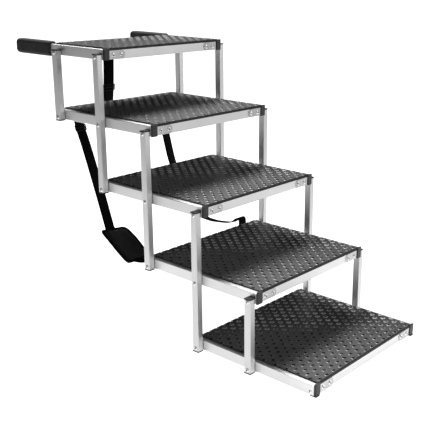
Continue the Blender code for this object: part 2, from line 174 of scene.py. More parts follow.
# Webbing routes: (y, z, roll in degrees) from the bottom tread's front face and rails. They are
# the CAD's, apart from a lower roll on the right
CLOSING_ROUTE = [
    (0.8478, 0.668, 0), (0.8480, 0.630, 0), (0.8490, 0.590, 0), (0.8508, 0.552, 0),
    (0.8556, 0.500, 0), (0.8625, 0.432, 0),
]
LEFT_ROUTE = [
    (0.8265, 0.505, 0), (0.8260, 0.485, 0), (0.8200, 0.458, 2), (0.7930, 0.400, 4),
    (0.7470, 0.290, 8), (0.7180, 0.216, 6), (0.7098, 0.198, 4), (0.6862, 0.181, 2),
    (0.6616, 0.164, 0), (0.6376, 0.149, 0), (0.6143, 0.138, 0), (0.5856, 0.139, 0),
    (0.5550, 0.148, 0), (0.5250, 0.162, 0), (0.5040, 0.176, 0),
]
RIGHT_ROUTE = [
    (0.8265, 0.505, 0), (0.8260, 0.485, 0), (0.8190, 0.455, 2), (0.8000, 0.395, 5),
    (0.7730, 0.316, 8), (0.7300, 0.245, 12), (0.6850, 0.199, 12), (0.6500, 0.179, 11),
    (0.6130, 0.175, 9), (0.5790, 0.178, 9), (0.5450, 0.184, 7), (0.5290, 0.193, 2),
    (0.5170, 0.203, 0), (0.5070, 0.204, 0), (0.5042, 0.194, 0), (0.5040, 0.176, 0),
]
ROUTE_STEPS = 8
CLOSING_WIDTH = 36.5 * MM
SHOULDER_WIDTH = 30 * MM
WEBBING_THICKNESS = 2.2 * MM
WEBBING_STEP = 4 * MM
SHOULDER_X = 0.150
CLOSING_X = -0.0205
CLOSING_SLIDER_AT = 0.122
SHOULDER_SLIDER_AT = 0.051
SLIDER_LENGTH = 16 * MM
SLIDER_WIDER = 3.2 * MM  # than its webbing
SLIDER_ROD = 1.7 * MM
PAD_LENGTH = 0.118
PAD_WIDTH = 0.068
PAD_INWARD = 7 * MM  # how far inward of the strap's middle the pad's own is
PAD_CORE = 5 * MM
PAD_FILL = 1.2 * MM  # how far the filling pushes the pad's faces out
PAD_CORNER = 3.5 * MM
PAD_INNER_CORNER = 12 * MM
PAD_SKEW = 9 * MM  # how much further along the strap its inner edge lies
PAD_HINGE = 3 * MM  # from the pad's middle to where its inner wing starts to lift
PAD_WING = 14 * MM
PAD_START = {"left": 0.331, "right": 0.250}
PAD_VOXEL = 3 * MM
PAD_CAP = 3.5 * MM  # the furthest that the filling moves a point
PAD_FILL_FRAMES = 20
PAD_EDGE_STEP = 6 * MM
TAPE_WIDTH = 5.5 * MM
TAPE_HEIGHT = PAD_CORE + 2.6 * MM
PAD_HEM = 4.6 * MM
PAD_SECOND_HEM = 12 * MM
PAD_STITCH = 4.2 * MM
TACK_STITCH = 3 * MM
# Handed to soften for each group of soft pieces: (axis, anchor, how much they keep)
CLOSING_FOLD = ((0, 0, 1), (0, 0, REAR_RAIL[1][0].z + 4 * MM), 0.02)
SHOULDER_FOLD = ((0, 0.28, 0.96), (0, FRONT_Y + 0.505, FLOOR_GAP + 0.175), 0.1)


# ---- materials


def add_node(tree, kind, inputs=(), **settings):
    """Adds a shader node, with values or sockets as its inputs, and gives back its outputs."""
    node = tree.nodes.new(f"ShaderNode{kind}")
    for key, value in settings.items():
        setattr(node, key, value)
    for socket, value in dict(inputs).items():
        if isinstance(value, bpy.types.NodeSocket):
            tree.links.new(value, node.inputs[socket])
        else:
            node.inputs[socket].default_value = value
    return node.outputs


class Nodes:
    """A material's node tree, with short ways to add what the finishes here need."""

    def __init__(self, name, **constants):
        self.material = bpy.data.materials.new(name)
        self.material.use_nodes = True
        self.tree = self.material.node_tree
        self.shader = self.tree.nodes["Principled BSDF"]
        for socket, value in constants.items():
            self.shader.inputs[socket.replace("_", " ")].default_value = value

    def add(self, kind, inputs=(), **settings):
        return add_node(self.tree, kind, inputs, **settings)

    def place(self, scale=(1, 1, 1), uv=None):
        """Object coordinates, or a UV map's, stretched by scale."""
        if uv:
            source = self.add("UVMap", uv_map=uv)["UV"]
        else:
            source = self.add("TexCoord")["Object"]
        return self.add("Mapping", {"Vector": source, "Scale": scale})[0]

    def noise(self, scale, detail=3.0, rough=0.5, vector=None):
        vector = self.place() if vector is None else vector
        inputs = {"Vector": vector, "Scale": scale, "Detail": detail, "Roughness": rough}
        return self.add("TexNoise", inputs)["Fac"]

    def wave(self, vector, scale, way):
        inputs = {"Vector": vector, "Scale": scale}
        return self.add("TexWave", inputs, bands_direction=way)["Fac"]

    def span(self, value, low, high, start=0.0, end=1.0):
        inputs = {"Value": value, 1: start, 2: end, 3: low, 4: high}
        return self.add("MapRange", inputs)[0]

    def maths(self, operation, a, b=0.0):
        return self.add("Math", {0: a, 1: b}, operation=operation)[0]

    def blend(self, factor, first, second):
        """A colour between two, which may be sockets."""
        inputs = {0: factor, 6: first, 7: second}
        return self.add("Mix", inputs, data_type="RGBA")[2]

    def edges(self):
        """From 0 on flat faces to 1 on outer edges."""
        pointed = self.add("NewGeometry")["Pointiness"]
        return self.span(pointed, 0.0, 1.0, 0.52, 0.62)

    def finish(self, colour, roughness, height=None, strength=0.3, distance=0.0003):
        self.tree.links.new(colour, self.shader.inputs["Base Color"])
        self.tree.links.new(roughness, self.shader.inputs["Roughness"])
        if height is not None:
            inputs = {"Height": height, "Strength": strength, "Distance": distance}
            self.tree.links.new(self.add("Bump", inputs)[0], self.shader.inputs["Normal"])
        return self.material


def grey(value):
    return (value, value, value, 1.0)


def aluminium(name, axis, tone=0.80, satin=0.42):
    """Satin extruded aluminium with die lines along one axis."""
    nodes = Nodes(name, Metallic=1.0)
    along = [900.0, 900.0, 900.0]
    along["XYZ".index(axis)] = 4.0
    lines = nodes.noise(1.0, 4.0, 0.6, nodes.place(along))
    cloud = nodes.noise(22.0, 4.0, 0.6)
    marks = nodes.noise(260.0, 2.0, 0.7)
    base = nodes.blend(nodes.span(cloud, 0, 1, 0.3, 0.7), grey(tone * 0.94), grey(tone))
    streaked = nodes.blend(nodes.span(lines, 0, 0.22, 0.35, 0.8), base, grey(tone * 0.72))
    toned = nodes.blend(nodes.maths("MULTIPLY", nodes.edges(), 0.5), streaked, grey(0.92))
    rough = nodes.maths("ADD", nodes.span(lines, satin - 0.06, satin + 0.06),
                        nodes.span(marks, -0.03, 0.05))
    return nodes.finish(toned, rough, lines, 0.25, 0.00004)


def bright_metal(name, low, high):
    """The rivets' pressed heads, and the stubs in them, which are near black as painted shade in the
    holes.
    """
    nodes = Nodes(name, Metallic=1.0)
    cloud = nodes.noise(420.0, 3.0)
    colour = nodes.blend(cloud, grey(low), grey(high))
    return nodes.finish(colour, nodes.span(cloud, 0.28, 0.40), cloud, 0.1, 0.0001)


def moulded(name, tone, roughness, shine=0.5):
    """Black moulded plastic with a fine spark-eroded grain and paler edges."""
    nodes = Nodes(name, Specular_IOR_Level=shine)
    pits = nodes.noise(1400.0, 2.0, 0.6)
    cloud = nodes.noise(35.0, 3.0)
    base = nodes.blend(nodes.span(cloud, 0, 1, 0.3, 0.7), grey(tone * 0.8), grey(tone * 1.2))
    toned = nodes.blend(nodes.maths("MULTIPLY", nodes.edges(), 0.6), base, grey(tone * 2.6))
    rough = nodes.span(pits, roughness - 0.08, roughness + 0.1)
    return nodes.finish(toned, rough, pits, 0.25, 0.00006)


def tread_plastic(name, shine):
    """The treads' embossed sheet: semi-gloss. Its colour carries painted light: pale painted highlights
    on the bump rims and, towards the rear right, in the hollows; black painted shade in the other
    hollows; and painted shade that darkens the flat towards the rear right and darkens the higher
    treads.
    """
    nodes = Nodes(name, Specular_IOR_Level=shine)
    grain = nodes.noise(700.0, 4.0, 0.65)
    cloud = nodes.noise(14.0, 5.0, 0.6)
    relief = nodes.add("Attribute", attribute_name="relief")["Fac"]
    # How far into the rear right each point is, where the painted highlights and painted shade grow
    toned = nodes.add("Attribute", attribute_name="toned")["Fac"]
    patches = nodes.span(nodes.noise(42.0, 2.0, 0.5), 0, 1, 0.38, 0.62)
    place = nodes.add("SeparateXYZ", {0: nodes.place()})
    sideways, raised = place["X"], nodes.span(place["Z"], 0, 1, 0.33, 0.68)
    # The flat: its own colour, and towards the rear right painted shade, darkest on the left
    plain_flat = nodes.blend(nodes.span(cloud, 0, 1, 0.3, 0.7), grey(0.068), grey(0.090))
    shaded_flat = nodes.blend(nodes.span(sideways, 0, 1, -0.12, 0.20), grey(0.012), grey(0.050))
    base = nodes.blend(toned, plain_flat, shaded_flat)
    # The bump rims: pale painted highlights, strongest towards the rear right
    rim = nodes.blend(toned, nodes.blend(patches, grey(0.10), grey(0.26)),
                      nodes.blend(patches, grey(0.42), grey(0.88)))
    # The hollows: black painted shade, turning to painted highlight towards the rear right
    hollow = nodes.blend(toned, grey(0.001), nodes.blend(patches, grey(0.05), grey(0.40)))
    lit_rims = nodes.blend(nodes.span(relief, 0, 1, 0.1, 0.8), base, rim)
    shaded = nodes.blend(nodes.span(relief, 1, 0, -0.7, 0), lit_rims, hollow)
    # Painted shade that darkens the higher treads
    shaded = nodes.blend(nodes.maths("MULTIPLY", raised, 0.62), shaded, grey(0.012))
    smudge = nodes.span(cloud, -0.05, 0.05, 0.3, 0.7)
    flat = nodes.maths("ADD", nodes.span(grain, 0.36, 0.50), smudge)
    polish = nodes.maths("SUBTRACT", nodes.span(relief, 0, 0.20), nodes.span(raised, 0, 0.22))
    rough = nodes.maths("SUBTRACT", flat, polish)
    return nodes.finish(shaded, rough, grain, 0.3, 0.00010)


def foam(name):
    """Closed-cell foam rubber: matte, with small pores."""
    nodes = Nodes(name)
    pores = nodes.noise(1500.0, 5.0, 0.75)
    cells = nodes.add("TexVoronoi", {"Vector": nodes.place(), "Scale": 900.0})["Distance"]
    mottle = nodes.noise(40.0, 3.0)
    colour = nodes.blend(nodes.span(mottle, 0, 1, 0.3, 0.7), grey(0.014), grey(0.024))
    height = nodes.maths("ADD", pores, nodes.maths("MULTIPLY", cells, 0.6))
    return nodes.finish(colour, nodes.span(pores, 0.62, 0.85), height, 0.6, 0.00025)


def webbing_fabric(name):
    """Polypropylene webbing: ribs across it and paired yarns along it."""
    nodes = Nodes(name, Specular_IOR_Level=0.0, Sheen_Weight=0.03, Sheen_Roughness=0.4)
    ribs = nodes.wave(nodes.place(uv="cloth"), 230.0, "Y")
    yarns = nodes.wave(nodes.place(uv="cloth"), 160.0, "X")
    height = nodes.maths("ADD", nodes.maths("MULTIPLY", ribs, yarns), nodes.maths("MULTIPLY", ribs, 0.4))
    fibres = nodes.noise(1200.0, vector=nodes.place((3, 1, 1), "cloth"))
    across = nodes.add("SeparateXYZ", {0: nodes.place(uv="cloth")})["X"]
    from_edge = nodes.span(nodes.maths("ABSOLUTE", across), 1.0, 0.3, 0.0095, 0.0125)
    woven = nodes.blend(nodes.span(height, 0, 1, 0.1, 1.1), grey(0.004), grey(0.022))
    colour = nodes.blend(from_edge, grey(0.002), woven)
    return nodes.finish(colour, nodes.span(fibres, 0.55, 0.8), height, 0.7, 0.0004)


def padded_fabric(name):
    """Plain-woven nylon over foam."""
    nodes = Nodes(name, Specular_IOR_Level=0.2, Sheen_Weight=0.10, Sheen_Roughness=0.5)
    across = nodes.wave(nodes.place(), 300.0, "X")
    along = nodes.wave(nodes.place((1, 0.6, 1)), 300.0, "Z")
    weave = nodes.maths("MULTIPLY", across, along)
    cloud = nodes.noise(60.0, 4.0)
    thread = nodes.blend(nodes.span(weave, 0, 1, 0.0, 0.8), grey(0.008), grey(0.030))
    colour = nodes.blend(nodes.span(cloud, 0, 0.35, 0.35, 0.7), thread, grey(0.040))
    return nodes.finish(colour, nodes.span(cloud, 0.68, 0.88), weave, 0.6, 0.0003)


def thread_material(name):
    nodes = Nodes(name, Sheen_Weight=0.2)
    fibre = nodes.noise(2600.0, 2.0)
    colour = nodes.blend(fibre, grey(0.035), grey(0.075))
    return nodes.finish(colour, nodes.span(fibre, 0.5, 0.7), fibre, 0.3, 0.0001)


def studio_floor(name):
    """A white sheet lit from below as well, so that it stays white in the steps' shade."""
    nodes = Nodes(name, Emission_Color=(1, 1, 1, 1))
    cloud = nodes.noise(3.0, 2.0)
    seen = nodes.add("LightPath")["Is Camera Ray"]
    away = nodes.add("VectorMath", {0: nodes.place()}, operation="LENGTH")
    given = nodes.span(away["Value"], FLOOR_NEAR, FLOOR_FAR, 0.5, 3.0)
    nodes.tree.links.new(nodes.span(seen, given, FLOOR_GLOW), nodes.shader.inputs["Emission Strength"])
    colour = nodes.blend(cloud, grey(0.22), grey(0.25))
    return nodes.finish(colour, nodes.span(cloud, 0.85, 0.95))


RAIL_METAL = {axis: aluminium(f"extruded_metal_{axis.lower()}", axis) for axis in "XY"}
LEG_METAL = aluminium("extruded_metal_z", "Z", 0.76, 0.48)
PLATE_METAL = aluminium("stamped_plate_metal", "X", 0.50, 0.38)
# A rivet's head, and the stub in it, near black as painted shade in its hole
RIVET_METAL = (bright_metal("rivet_metal", 0.96, 1.0), bright_metal("rivet_stub_painted_shade", 0.02, 0.05))
CONNECTOR_PLASTIC = moulded("connector_plastic", 0.016, 0.42)
PLUG_PLASTIC = moulded("plug_plastic", 0.006, 0.5, shine=0.3)
SLIDER_PLASTIC = moulded("slider_plastic", 0.005, 0.6, shine=0.15)
TREAD_PLASTIC = [tread_plastic(f"tread_plastic_{shine}", shine) for shine in (0.18, 0.36, 0.45)]
LIP_PLASTIC = moulded("lip_plastic", 0.010, 0.5, shine=0.25)
GRIP_FOAM = foam("grip_foam")
WEBBING = webbing_fabric("webbing")
PAD_FABRIC = padded_fabric("pad_fabric")
THREAD = thread_material("thread")


# ---- mesh helpers


def link(name, data):
    obj = bpy.data.objects.new(name, data)
    bpy.context.scene.collection.objects.link(obj)
    return obj


def as_mesh(name, bm):
    mesh = bpy.data.meshes.new(name)
    bm.to_mesh(mesh)
    bm.free()
    return mesh


def face_out(bm):
    bmesh.ops.recalc_face_normals(bm, faces=bm.faces)


def piece(name, bm, materials, body, replaces=(), sharp=35, soft=False):
    """An object from bm that rides on a body and stands for the CAD nodes in replaces."""
    mesh = as_mesh(name, bm)
    obj = link(name, mesh)
    for material in materials if isinstance(materials, tuple) else (materials,):
        mesh.materials.append(material)
    mesh.shade_smooth()
    mesh.set_sharp_from_angle(angle=math.radians(sharp))
    if not soft:
        flat = obj.modifiers.new("flat_faces_stay_flat", "WEIGHTED_NORMAL")
        flat.keep_sharp = True
    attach(obj, body)
    if replaces:
        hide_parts(*replaces)
    return obj


def arc(x, y, radius, start, quarters, steps):
    """Points round (x, y), where start and quarters count quarter turns."""
    angles = [(start + quarters * step / steps) * math.pi / 2 for step in range(steps + 1)]
    return [(x + radius * math.cos(a), y + radius * math.sin(a)) for a in angles]


def circle(centre, first, second, steps):
    """Points all round a centre, through centre + first and centre + second."""
    angles = [2 * math.pi * step / steps for step in range(steps)]
    return [centre + first * math.cos(a) + second * math.sin(a) for a in angles]


def rounded_outline(width, height, radius, steps=4):
    points = []
    for corner, (sx, sy) in enumerate(((1, 1), (-1, 1), (-1, -1), (1, -1))):
        x, y = sx * (width / 2 - radius), sy * (height / 2 - radius)
        points += arc(x, y, radius, corner, 1, steps)
    return points


def bridge(bm, first, second):
    for i in range(len(first)):
        j = (i + 1) % len(first)
        bm.faces.new((first[i], first[j], second[j], second[i]))


def add_prism(bm, rings):
    """A shape through rings of points, with flat ends."""
    loops = [[bm.verts.new(point) for point in ring] for ring in rings]
    for lower, upper in zip(loops, loops[1:]):
        bridge(bm, lower, upper)
    bm.faces.new(loops[0][::-1])
    bm.faces.new(loops[-1])
    return loops


def add_hoop(bm, rings):
    """A shape with a hole through it, from rings of points whose last one meets the first."""
    loops = [[bm.verts.new(point) for point in ring] for ring in rings]
    for lower, upper in zip(loops, loops[1:] + loops[:1]):
        bridge(bm, lower, upper)


def lay(outline, place, axis):
    """An outline's points in space, that far along an axis."""
    if axis == "X":
        return [Vector((place, a, b)) for a, b in outline]
    if axis == "Y":
        return [Vector((-a, place, b)) for a, b in outline]
    return [Vector((a, b, place)) for a, b in outline]


def hollow_tube(width, height, radius, wall, inner_radius, low, high, axis):
    """A tube from low to high along an axis, with softened ends."""
    bm = bmesh.new()
    stations = ((low, TUBE_END), (low + TUBE_END, 0), (high - TUBE_END, 0), (high, TUBE_END))
    rings = []
    for inward, corner, order in ((0, radius, 1), (wall, inner_radius, -1)):
        for place, inset in stations[::order]:
            less = 2 * (inward + inset)
            outline = rounded_outline(width - less, height - less, corner - inset)
            rings.append(lay(outline, place, axis))
    add_hoop(bm, rings)
    return bm


def rail(name, centre, width, height, low, high, axis, body, replaces):
    """A hollow rail about centre, whose own length runs from low to high."""
    bm = hollow_tube(width, height, RAIL_ROUND, RAIL_WALL, 0.5 * MM, low, high, axis)
    bmesh.ops.translate(bm, verts=bm.verts, vec=centre)
    return piece(name, bm, RAIL_METAL[axis], body, replaces)


def add_turned(bm, profile, place, axis, steps):
    """A round shape with flat ends. profile is (distance along axis, radius)."""
    axis = Vector(axis).normalized()
    side = axis.orthogonal().normalized()
    other = axis.cross(side)
    add_prism(bm, [circle(Vector(place) + axis * reach, side * radius, other * radius, steps)
                   for reach, radius in profile])


def rivets(name, body, heads, radius=RIVET_RADIUS):
    """Blind rivets' domed heads at each (place, axis), with their mandrels' stubs sunk in, near black as
    painted shade in the holes.
    """
    bm = bmesh.new()
    share = radius / RIVET_RADIUS * MM
    for place, axis in heads:
        for material, (profile, steps) in enumerate(((RIVET_HEAD, 24), (RIVET_STUB, 12))):
            before = len(bm.faces)
            profile = [(reach * share, across * share) for reach, across in profile]
            add_turned(bm, profile, place, axis, steps)
            bm.faces.ensure_lookup_table()
            for face in bm.faces[before:]:
                face.material_index = material
    face_out(bm)
    piece(name, bm, RIVET_METAL, body, (), 60)


def pivot_place(tread, number):
    up = TREADS - tread
    y = FRONT_Y + up * RUN + FIRST_PIVOT + number * PIVOT_PITCH
    return Vector((0, y, FLOOR_GAP + up * RISE + PIVOT_HEIGHT))


# ---- camera, floor and light


def make_camera():
    data = bpy.data.cameras.new("camera")
    data.lens = CAMERA_LENS
    camera = link("camera", data)
    camera.location = CAMERA_PLACE
    camera.rotation_euler = [math.radians(angle) for angle in CAMERA_TURN]
    bpy.context.scene.camera = camera


def area_light(name, place, size, power):
    data = bpy.data.lights.new(name, "AREA")
    data.shape = "RECTANGLE"
    data.size, data.size_y = size
    data.energy = power
    light = link(name, data)
    light.location = place
    light.rotation_mode = "QUATERNION"
    light.rotation_quaternion = (LIGHT_TARGET - Vector(place)).to_track_quat("-Z", "Y")


def make_studio():
    bm = bmesh.new()
    bmesh.ops.create_grid(bm, x_segments=8, y_segments=8, size=FLOOR_SIZE)
    floor = link("floor", as_mesh("floor", bm))
    floor.data.materials.append(studio_floor("studio_floor"))

    make_surroundings()
    for name, facts in LIGHTS.items():
        area_light(name, *facts)


def make_surroundings():
    """A studio that is bright overhead and in front, and dim low down behind the steps."""
    world = bpy.data.worlds.new("studio")
    bpy.context.scene.world = world
    world.use_nodes = True
    tree = world.node_tree

    def add(kind, inputs=(), **settings):
        return add_node(tree, kind, inputs, **settings)

    def smooth_span(value, start, end, low, high):
        inputs = {"Value": value, 1: start, 2: end, 3: low, 4: high}
        return add("MapRange", inputs, interpolation_type="SMOOTHSTEP")[0]

    direction = add("TexCoord")["Generated"]
    height = add("SeparateXYZ", {"Vector": direction})["Z"]
    overhead = smooth_span(height, 0.25, 0.85, 0.0, 1.0)
    both = {0: direction, 1: WORLD_FRONT}
    facing = add("VectorMath", both, operation="DOT_PRODUCT")["Value"]
    front = smooth_span(facing, -0.3, 0.9, WORLD_BACK, WORLD_FRONT_LIGHT)
    level = add("Mix", {0: overhead, 2: front, 3: WORLD_OVERHEAD})[0]
    seen = add("LightPath")["Is Camera Ray"]
    shown = add("Mix", {0: seen, 2: level, 3: WORLD_SEEN})[0]
    tree.links.new(shown, tree.nodes["Background"].inputs["Strength"])


# ---- webbing and pads


def smooth_route(route):
    """Points and rolls along a smooth curve through a route's own points."""
    ends = [route[0], *route, route[-1]]
    stations = []
    for before, start, end, after in zip(ends, ends[1:], ends[2:], ends[3:]):
        for step in range(ROUTE_STEPS):
            t = step / ROUTE_STEPS
            stations.append([
                0.5 * (2 * b + (c - a) * t + (2 * a - 5 * b + 4 * c - d) * t**2
                       + (3 * b - a - 3 * c + d) * t**3)
                for a, b, c, d in zip(before, start, end, after)
            ])
    return stations + [list(route[-1])]


class Strap:
    """Where a strap's middle runs, and which way it faces."""

    def __init__(self, route, x, way):
        self.stations = smooth_route(route)
        self.way = way
        self.path = [Vector((x, FRONT_Y + y, FLOOR_GAP + z)) for y, z, _ in self.stations]
        self.travelled = [0.0]
        for a, b in zip(self.path, self.path[1:]):
            self.travelled.append(self.travelled[-1] + (b - a).length)
        self.length = self.travelled[-1]

    def frame_at(self, distance):
        """(point, across, forward, normal) that far along."""
        distance = min(max(distance, 0.0), self.length - 1e-6)
        i = max(k for k, far in enumerate(self.travelled[:-1]) if far <= distance)
        t = (distance - self.travelled[i]) / (self.travelled[i + 1] - self.travelled[i])
        point = self.path[i].lerp(self.path[i + 1], t)
        roll = self.stations[i][2] * (1 - t) + self.stations[i + 1][2] * t
        before, after = self.path[max(i - 1, 0)], self.path[min(i + 2, len(self.path) - 1)]
        forward = (after - before).normalized()
        angle = math.radians(roll) * self.way
        across = Vector((math.cos(angle), 0, -math.sin(angle)))
        across = (across - forward * across.dot(forward)).normalized()
        return point, across, forward, forward.cross(across)


def soften(pieces, axis, anchor, keep):
    """Gives each soft piece a mesh of its own."""
    for obj in pieces:
        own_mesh(obj)


def webbing_piece(name, strap, width, body, node):
    """A strap's webbing with round selvedges, and with UVs in metres."""
    bm = bmesh.new()
    uv = bm.loops.layers.uv.new("cloth")
    outline = rounded_outline(width, WEBBING_THICKNESS, WEBBING_THICKNESS * 0.45, 3)
    count = round(strap.length / WEBBING_STEP)
    distances = [strap.length * i / count for i in range(count + 1)]
    rings = []
    for distance in distances:
        point, across, _, normal = strap.frame_at(distance)
        rings.append([point + across * a + normal * b for a, b in outline])
    where = {}
    for distance, loop in zip(distances, add_prism(bm, rings)):
        for (a, _), vertex in zip(outline, loop):
            where[vertex] = (a, distance)
    for face in bm.faces:
        for corner in face.loops:
            corner[uv].uv = where[corner.vert]
    face_out(bm)
    return piece(name, bm, WEBBING, body, (node,), 50, True)


def slider(name, strap, at, width, body, node):
    """A tri-glide: a rounded frame with a bar across its middle, lying on the webbing."""
    point, across, forward, normal = strap.frame_at(at)
    rod, wide = SLIDER_ROD, width + SLIDER_WIDER
    outline = rounded_outline(wide, SLIDER_LENGTH, 3 * MM, 5)
    bm = bmesh.new()
    rings = []
    for i, (a, b) in enumerate(outline):
        before, after = outline[i - 1], outline[(i + 1) % len(outline)]
        run = (across * (after[0] - before[0]) + forward * (after[1] - before[1])).normalized()
        out = run.cross(normal)
        centre = point + across * a + forward * b + normal * 1.2 * MM
        rings.append(circle(centre, out * rod, normal * rod * 0.8, 12))
    add_hoop(bm, rings)
    bar_end = across * (wide - rod) / 2
    centre = point + normal * 1.4 * MM
    add_prism(bm, [circle(centre + bar_end * end, forward * rod, normal * rod * 0.7, 12)
                   for end in (-1, 1)])
    face_out(bm)
    return piece(name, bm, SLIDER_PLASTIC, body, (node,), 60)


class PadForm:
    """A shoulder pad's own surface round its strap: its inner wing lifts in the middle."""

    def __init__(self, strap, start):
        self.strap = strap
        self.start = start

    def half_width(self, along, edge):
        """The pad's width on the side of its middle that edge names, 1 for +X and -1 for -X."""
        from_end = min(along, PAD_LENGTH - along)
        inner = edge != self.strap.way and along < PAD_LENGTH / 2
        corner = PAD_INNER_CORNER if inner else PAD_CORNER
        near = max(0.0, 1 - from_end / corner)
        return PAD_WIDTH / 2 - corner * (1 - math.sqrt(max(0.0, 1 - near**2)))

    def point(self, along, across, out=0.0):
        """A point that far along the pad, across it and out from its middle surface."""
        share = 0.5 - across * self.strap.way / PAD_WIDTH
        middle, side, _, normal = self.strap.frame_at(self.start + along + PAD_SKEW * (share - 0.15))
        middle = middle - side * (self.strap.way * PAD_INWARD)
        inward = -across * self.strap.way - PAD_HINGE
        wing = max(0.0, inward / (PAD_WIDTH / 2 - PAD_HINGE))
        rise = PAD_WING * wing**1.4 * math.sin(math.pi * min(max(along / PAD_LENGTH, 0), 1)) ** 0.8
        pulled = across + self.strap.way * rise * 0.1
        return middle + side * pulled + normal * (rise + out)

    def places(self, gap):
        """Distances along the pad, closer together at its rounded ends."""
        ends = [0.0, 0.4 * MM, 1.5 * MM, 3.5 * MM, 6.5 * MM]
        count = round((PAD_LENGTH - 26 * MM) / gap)
        middle = [13 * MM + (PAD_LENGTH - 26 * MM) * i / count for i in range(count + 1)]
        return [*ends, *middle, *[PAD_LENGTH - place for place in reversed(ends)]]


def pad_shell(form):
    """The pad's loose shape before it is filled."""
    bm = bmesh.new()
    columns = 12
    rings = []
    for along in form.places(7 * MM):
        low, high = -form.half_width(along, -1), form.half_width(along, 1)
        steps = [low + (high - low) * i / columns for i in range(columns + 1)]
        core = PAD_CORE / 2
        ring = [form.point(along, across, core) for across in steps]
        ring += [form.point(along, across, -core) for across in reversed(steps)]
        rings.append(ring)
    add_prism(bm, rings)
    face_out(bm)
    return bm


def bake(obj):
    """Makes what the modifiers show the object's own mesh."""
    graph = bpy.context.evaluated_depsgraph_get()
    mesh = bpy.data.meshes.new_from_object(obj.evaluated_get(graph))
    obj.modifiers.clear()
    obj.data = mesh


def fill_pad(obj):
    """Pumps the pad up a little as cloth, keeps the change small, and leaves a plain mesh."""
    bpy.context.view_layer.objects.active = obj
    remesh = obj.modifiers.new("remesh", "REMESH")
    remesh.mode = "VOXEL"
    remesh.voxel_size = PAD_VOXEL
    bake(obj)
    rest = [v.co.copy() for v in obj.data.vertices]
    cloth = obj.modifiers.new("cloth", "CLOTH").settings
    cloth.use_pressure = True
    cloth.uniform_pressure_force = 4
    cloth.effector_weights.gravity = 0
    cloth.tension_stiffness = 40
    cloth.bending_stiffness = 2
    for step in range(1, PAD_FILL_FRAMES + 1):
        bpy.context.scene.frame_set(step)
    bake(obj)
    for vertex, start in zip(obj.data.vertices, rest):
        move = vertex.co - start
        if move.length > PAD_CAP:
            vertex.co = start + move.normalized() * PAD_CAP
    bpy.context.scene.frame_set(1)


def pad(name, form, body, node):
    obj = link(name, as_mesh(name, pad_shell(form)))
    fill_pad(obj)
    smooth = obj.modifiers.new("smooth", "SUBSURF")
    smooth.levels = smooth.render_levels = 1
    bake(obj)
    obj.data.materials.clear()
    obj.data.materials.append(PAD_FABRIC)
    obj.data.shade_smooth()
    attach(obj, body)
    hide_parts(node)
    return obj


def add_piping(bm, path, inward, width, height):
    """A folded tape round a closed path, as a closed ring. inward holds the way in at each point."""
    uv = bm.loops.layers.uv.new("cloth")
    section = rounded_outline(width, height, min(width, height) * 0.42, 3)
    loops, travelled = [], 0.0
    for i, centre in enumerate(path):
        forward = (path[(i + 1) % len(path)] - path[i - 1]).normalized()
        inner = (inward[i] - forward * inward[i].dot(forward)).normalized()
        out = forward.cross(inner)
        loops.append([bm.verts.new(centre + inner * a + out * b) for a, b in section])
    for i, (lower, upper) in enumerate(zip(loops, loops[1:] + loops[:1])):
        step = (path[(i + 1) % len(path)] - path[i]).length
        before = len(bm.faces)
        bridge(bm, lower, upper)
        bm.faces.ensure_lookup_table()
        for face in bm.faces[before:]:
            for corner in face.loops:
                far = travelled + (step if corner.vert in upper else 0.0)
                places = lower if corner.vert in lower else upper
                corner[uv].uv = (section[places.index(corner.vert)][0], far)
        travelled += step
    face_out(bm)


def pad_edge(form):
    """Points round the pad's outline, and the way in from each."""
    places = form.places(PAD_EDGE_STEP)
    path, inward = [], []
    for side, order in ((-1, places), (1, places[::-1])):
        for along in order:
            half = form.half_width(along, side)
            path.append(form.point(along, side * half))
            inward.append(form.point(along, side * (half - 6 * MM)) - path[-1])
    return path, inward


def pad_binding(name, form, body):
    """Folded tape round the pad's edge."""
    bm = bmesh.new()
    path, inward = pad_edge(form)
    add_piping(bm, path, inward, TAPE_WIDTH, TAPE_HEIGHT)
    return piece(name, bm, WEBBING, body, (), 60, True)


def add_stitches(bm, row, pitch):
    """Short raised stitches through a row of points on a surface."""
    for start, end in zip(row, row[1:]):
        count = max(1, round((end - start).length / pitch))
        for i in range(count):
            a, b = start.lerp(end, (i + 0.15) / count), start.lerp(end, (i + 0.85) / count)
            full = (b - a).length
            profile = [(0, 0.1 * MM), (0.25 * MM, 0.34 * MM), (full / 2, 0.42 * MM),
                       (full - 0.25 * MM, 0.34 * MM), (full, 0.1 * MM)]
            add_turned(bm, profile, a, b - a, 6)


def pad_stitches(bm, form):
    """Rows beside the binding, and a hem across each end, on both faces of the pad."""
    inset = PAD_HEM
    for lift in (-1, 1):
        out = lift * (PAD_CORE / 2 + PAD_FILL)
        for side in (-1, 1):
            row = [form.point(along, side * (PAD_WIDTH / 2 - inset), out)
                   for along in form.places(PAD_EDGE_STEP) if inset < along < PAD_LENGTH - inset]
            add_stitches(bm, row, PAD_STITCH)
        for along in (inset, PAD_SECOND_HEM, PAD_LENGTH - PAD_SECOND_HEM, PAD_LENGTH - inset):
            half = min(form.half_width(along, side) for side in (-1, 1)) - 2 * inset
            row = [form.point(along, half * (i / 4 - 1), out) for i in range(9)]
            add_stitches(bm, row, PAD_STITCH)


def bar_tacks(bm, strap, places, half_width):
    """Rows of stitches across a strap, on both faces."""
    for distance in places:
        middle, across, _, normal = strap.frame_at(distance)
        for lift in (-1, 1):
            centre = middle + normal * (lift * (WEBBING_THICKNESS / 2 + 0.1 * MM))
            row = [centre - across * half_width, centre + across * half_width]
            add_stitches(bm, row, TACK_STITCH)


